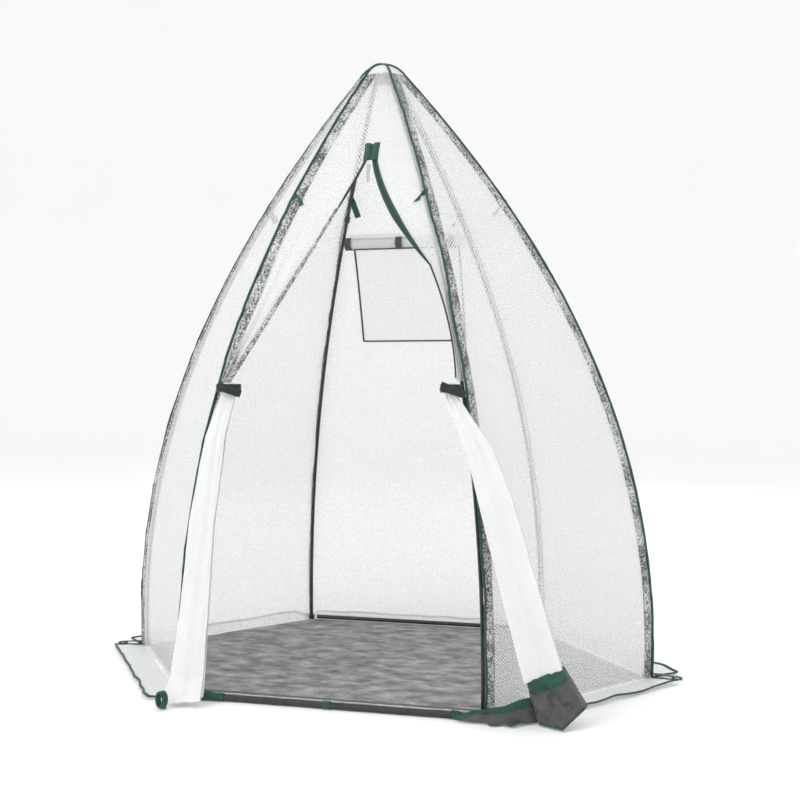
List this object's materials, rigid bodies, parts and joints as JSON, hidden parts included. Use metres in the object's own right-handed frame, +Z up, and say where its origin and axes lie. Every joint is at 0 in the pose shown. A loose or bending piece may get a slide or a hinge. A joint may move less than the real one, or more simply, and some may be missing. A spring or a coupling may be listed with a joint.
{
  "type": "pop up greenhouse",
  "caption": "Small six-sided pop-up greenhouse with bowed poles, a translucent cover, a tied-back door, a roll-up window, a skirt and a ground sheet.",
  "frame": {"origin": "on the ground, under the apex, at the bottom centre of the object's box", "axes": "+Z up, +X to the right as seen from the door, the door faces -Y"},
  "size_m": [1.5096, 1.092, 1.541],
  "materials": {
    "pole": "smooth black glass-fibre rod",
    "plastic": "moulded black plastic",
    "steel": "plated",
    "cover": "translucent white reinforced film with a fine square grid",
    "door": "gathered layers of the same film, nearly opaque",
    "screen": "fine clear mesh",
    "tape": "dark green woven binding",
    "strap": "dark woven hook-and-loop strap",
    "ground": "wrinkled grey woven sheet",
    "hem": "dark grey coated cloth"
  },
  "bodies": {
    "root": {"hub_axle": "steel", "apex_cap": "tape", "pole_left": "pole", "pole_right": "pole", "foot_cap_left": "plastic", "foot_cap_right": "plastic", "pole_tie_left": "tape", "pole_tie_right": "tape", "stake_ring_left": "tape", "stake_ring_right": "tape", "wall_front_left_outer": "cover", "wall_front_right_outer": "cover", "wall_back_right_outer": "cover", "wall_back_left_outer": "cover", "ground_sheet": "ground"},
    "front_mid": {"wall_front_left_inner": "cover", "wall_front_right_inner": "cover", "skirt_front_left": "cover", "skirt_front_right": "cover"},
    "back_mid": {"wall_back_left_inner": "cover", "wall_back_right_inner": "cover", "skirt_back_left": "cover", "skirt_back_right": "cover"},
    "front_frame": {"front_yoke": "plastic", "pole_front_left": "pole", "pole_front_right": "pole", "foot_cap_front_left": "plastic", "foot_cap_front_right": "plastic", "pole_tie_front_left": "tape", "pole_tie_front_right": "tape", "stake_ring_front_left": "tape", "stake_ring_front_right": "tape", "sill_pole_front": "pole", "front_panel_left": "cover", "front_panel_right": "cover", "zip_tab": "tape", "zip_slider": "steel", "tie_back_left": "strap", "tie_back_right": "strap", "sill_flap": "hem"},
    "back_frame": {"back_yoke": "plastic", "pole_back_left": "pole", "pole_back_right": "pole", "foot_cap_back_left": "plastic", "foot_cap_back_right": "plastic", "pole_tie_back_left": "tape", "pole_tie_back_right": "tape", "stake_ring_back_left": "tape", "stake_ring_back_right": "tape", "sill_pole_back": "pole", "back_panel": "cover", "window_screen": "screen", "window_flap": "door", "skirt_back": "cover"},
    "door_left": {"door_tail_left": "door"},
    "door_right": {"door_tail_right": "door", "door_hem": "hem"},
    "window_roll": {"window_roll": "door"},
    "zip_pull": {"zip_pull": "steel"}
  },
  "joints": [
    {"name": "fold", "type": "hinge", "parent": "root", "child": "front_mid", "pos_m": [0, 0, 1.51], "axis": [1, 0, 0], "range_deg": [0, 8], "deforming": ["wall_front_left_outer", "wall_front_left_inner", "wall_front_right_outer", "wall_front_right_inner", "skirt_front_left", "skirt_front_right", "ground_sheet"]},
    {"name": "fold_front", "type": "hinge", "parent": "front_mid", "child": "front_frame", "pos_m": [0, 0, 1.51], "axis": [1, 0, 0], "range_deg": [0, 8]},
    {"name": "fold_back_mid", "type": "hinge", "parent": "root", "child": "back_mid", "pos_m": [0, 0, 1.51], "axis": [-1, 0, 0], "range_deg": [0, 8], "deforming": ["wall_back_left_outer", "wall_back_left_inner", "wall_back_right_outer", "wall_back_right_inner", "skirt_back_left", "skirt_back_right"]},
    {"name": "fold_back", "type": "hinge", "parent": "back_mid", "child": "back_frame", "pos_m": [0, 0, 1.51], "axis": [-1, 0, 0], "range_deg": [0, 8]},
    {"name": "door_left_swing", "type": "hinge", "parent": "front_frame", "child": "door_left", "pos_m": [-0.262, -0.397, 0.71], "axis": [-1, 0, 0], "range_deg": [0, 25]},
    {"name": "door_right_swing", "type": "hinge", "parent": "front_frame", "child": "door_right", "pos_m": [0.264, -0.397, 0.71], "axis": [-1, 0, 0], "range_deg": [0, 22]},
    {"name": "window_roll_down", "type": "slide", "parent": "back_frame", "child": "window_roll", "axis": [0, 0.3453, -0.9385], "range_m": [0, 0.24], "deforming": ["window_flap"]},
    {"name": "zip_pull_swing", "type": "hinge", "parent": "front_frame", "child": "zip_pull", "pos_m": [0.015, -0.19, 1.237], "axis": [-1, 0, 0], "range_deg": [0, 80]}
  ],
  "couplings": [
    {"joint": "fold_front", "follows": "fold", "ratio": 1},
    {"joint": "fold_back_mid", "follows": "fold", "ratio": 1},
    {"joint": "fold_back", "follows": "fold", "ratio": 1}
  ]
}
